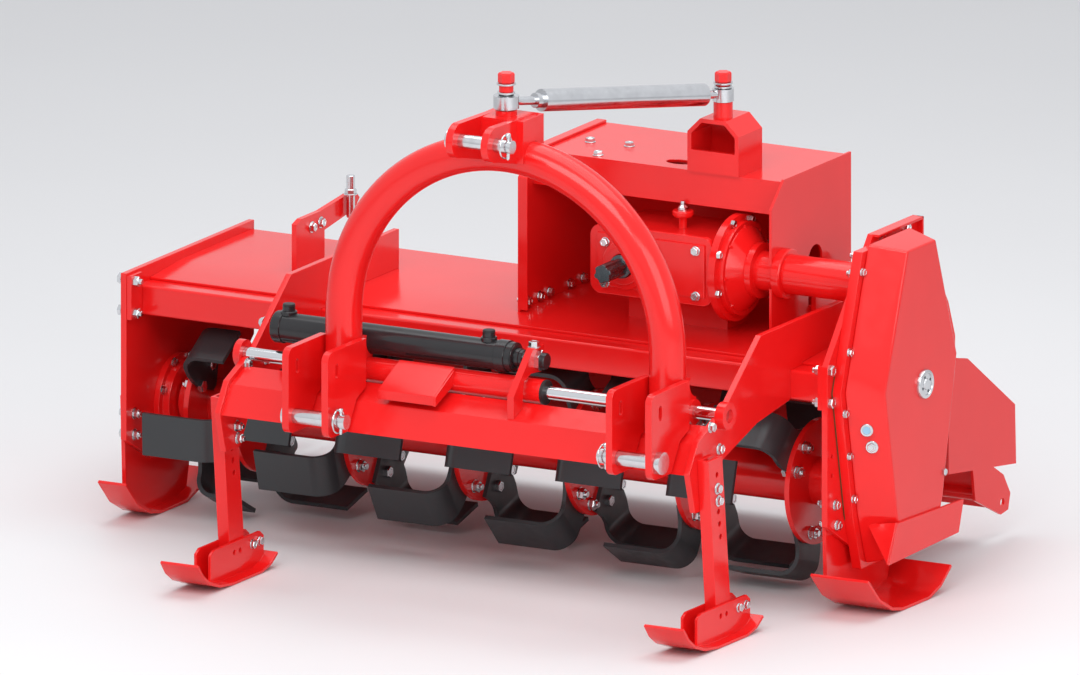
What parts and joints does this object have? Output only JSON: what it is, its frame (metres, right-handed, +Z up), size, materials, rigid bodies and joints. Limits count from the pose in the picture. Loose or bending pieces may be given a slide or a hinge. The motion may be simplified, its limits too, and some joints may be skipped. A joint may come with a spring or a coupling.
{
  "type": "rotary tiller",
  "caption": "Rear-mounted rotary tiller with an arched side-shift hitch, a hydraulic shift cylinder, a bladed rotor under a hood and a side gear case.",
  "frame": {"origin": "centre of the footprint at floor level, under the skids", "axes": "+X along the rotor towards the gear case, -Y forwards to the tractor, +Z up"},
  "size_m": [1.626, 1.209, 1.025],
  "materials": {
    "red_paint": "gloss",
    "black_paint": "gloss",
    "blade_steel": "satin",
    "chrome": "polished",
    "zinc": "satin"
  },
  "bodies": {
    "frame": {"board_knuckles": "red_paint", "case_guard": "red_paint", "cross_beam": "red_paint", "cylinder_lug": "red_paint", "cylinder_rod": "chrome", "drive_tube": "red_paint", "end_plate_left": "red_paint", "end_plate_right": "red_paint", "front_skid_left": "red_paint", "front_skid_right": "red_paint", "front_tube": "red_paint", "gear_case": "red_paint", "gear_case_cover": "red_paint", "gearbox": "red_paint", "gearbox_cover": "red_paint", "hood": "red_paint", "housing_left": "red_paint", "housing_right": "red_paint", "housing_top": "red_paint", "rod_keepers": "red_paint", "rotor_bearing": "red_paint", "side_plate_left": "red_paint", "side_plate_right": "red_paint", "side_skid_left": "red_paint", "side_skid_legs": "red_paint", "side_skid_right": "red_paint", "skid_legs": "red_paint", "slide_rod": "chrome", "spring_brackets": "red_paint", "stay_bolt_rear": "zinc", "stay_bracket": "red_paint"},
    "hitch": {"arch": "red_paint", "clevis_left": "red_paint", "clevis_right": "red_paint", "lower_pins": "zinc", "top_bracket": "red_paint", "top_pin": "zinc", "slide_sleeve": "red_paint", "saddle_plate": "red_paint", "cylinder_barrel": "black_paint", "stay_bolt_front": "zinc"},
    "stay": {"stay_tube": "zinc"},
    "stay_extension": {"stay_rod": "zinc"},
    "rotor": {"rotor_tube": "red_paint", "blades": "blade_steel"},
    "board": {"rear_board": "red_paint"},
    "shaft": {"input_shaft": "zinc"}
  },
  "joints": [
    {"name": "side_shift", "type": "slide", "parent": "frame", "child": "hitch", "axis": [1, 0, 0], "range_m": [-0.15, 0]},
    {"name": "stay_swing", "type": "hinge", "parent": "frame", "child": "stay", "pos_m": [0.366, 0.0805, 0.902], "axis": [0, 0.1375, 0.9905], "range_deg": [-14.07, 0]},
    {"name": "stay_slide", "type": "slide", "parent": "stay", "child": "stay_extension", "axis": [-0.3503, -0.9278, 0.1287], "range_m": [0, 0.067]},
    {"name": "rotor_spin", "type": "hinge", "parent": "frame", "child": "rotor", "pos_m": [-0.019, 0.0405, 0.203], "axis": [1, 0, 0], "continuous": true},
    {"name": "input_spin", "type": "hinge", "parent": "frame", "child": "shaft", "pos_m": [0.222, -0.1195, 0.585], "axis": [0, 1, 0], "continuous": true},
    {"name": "board_swing", "type": "hinge", "parent": "frame", "child": "board", "pos_m": [0.181, 0.3405, 0.44], "axis": [1, 0, 0], "range_deg": [0, 45]}
  ],
  "couplings": [
    {"joint": "stay_swing", "follows": "side_shift", "rad_per_m": 1.614},
    {"joint": "stay_slide", "follows": "side_shift", "ratio": -0.44364},
    {"joint": "input_spin", "follows": "rotor_spin", "ratio": 2.45}
  ]
}
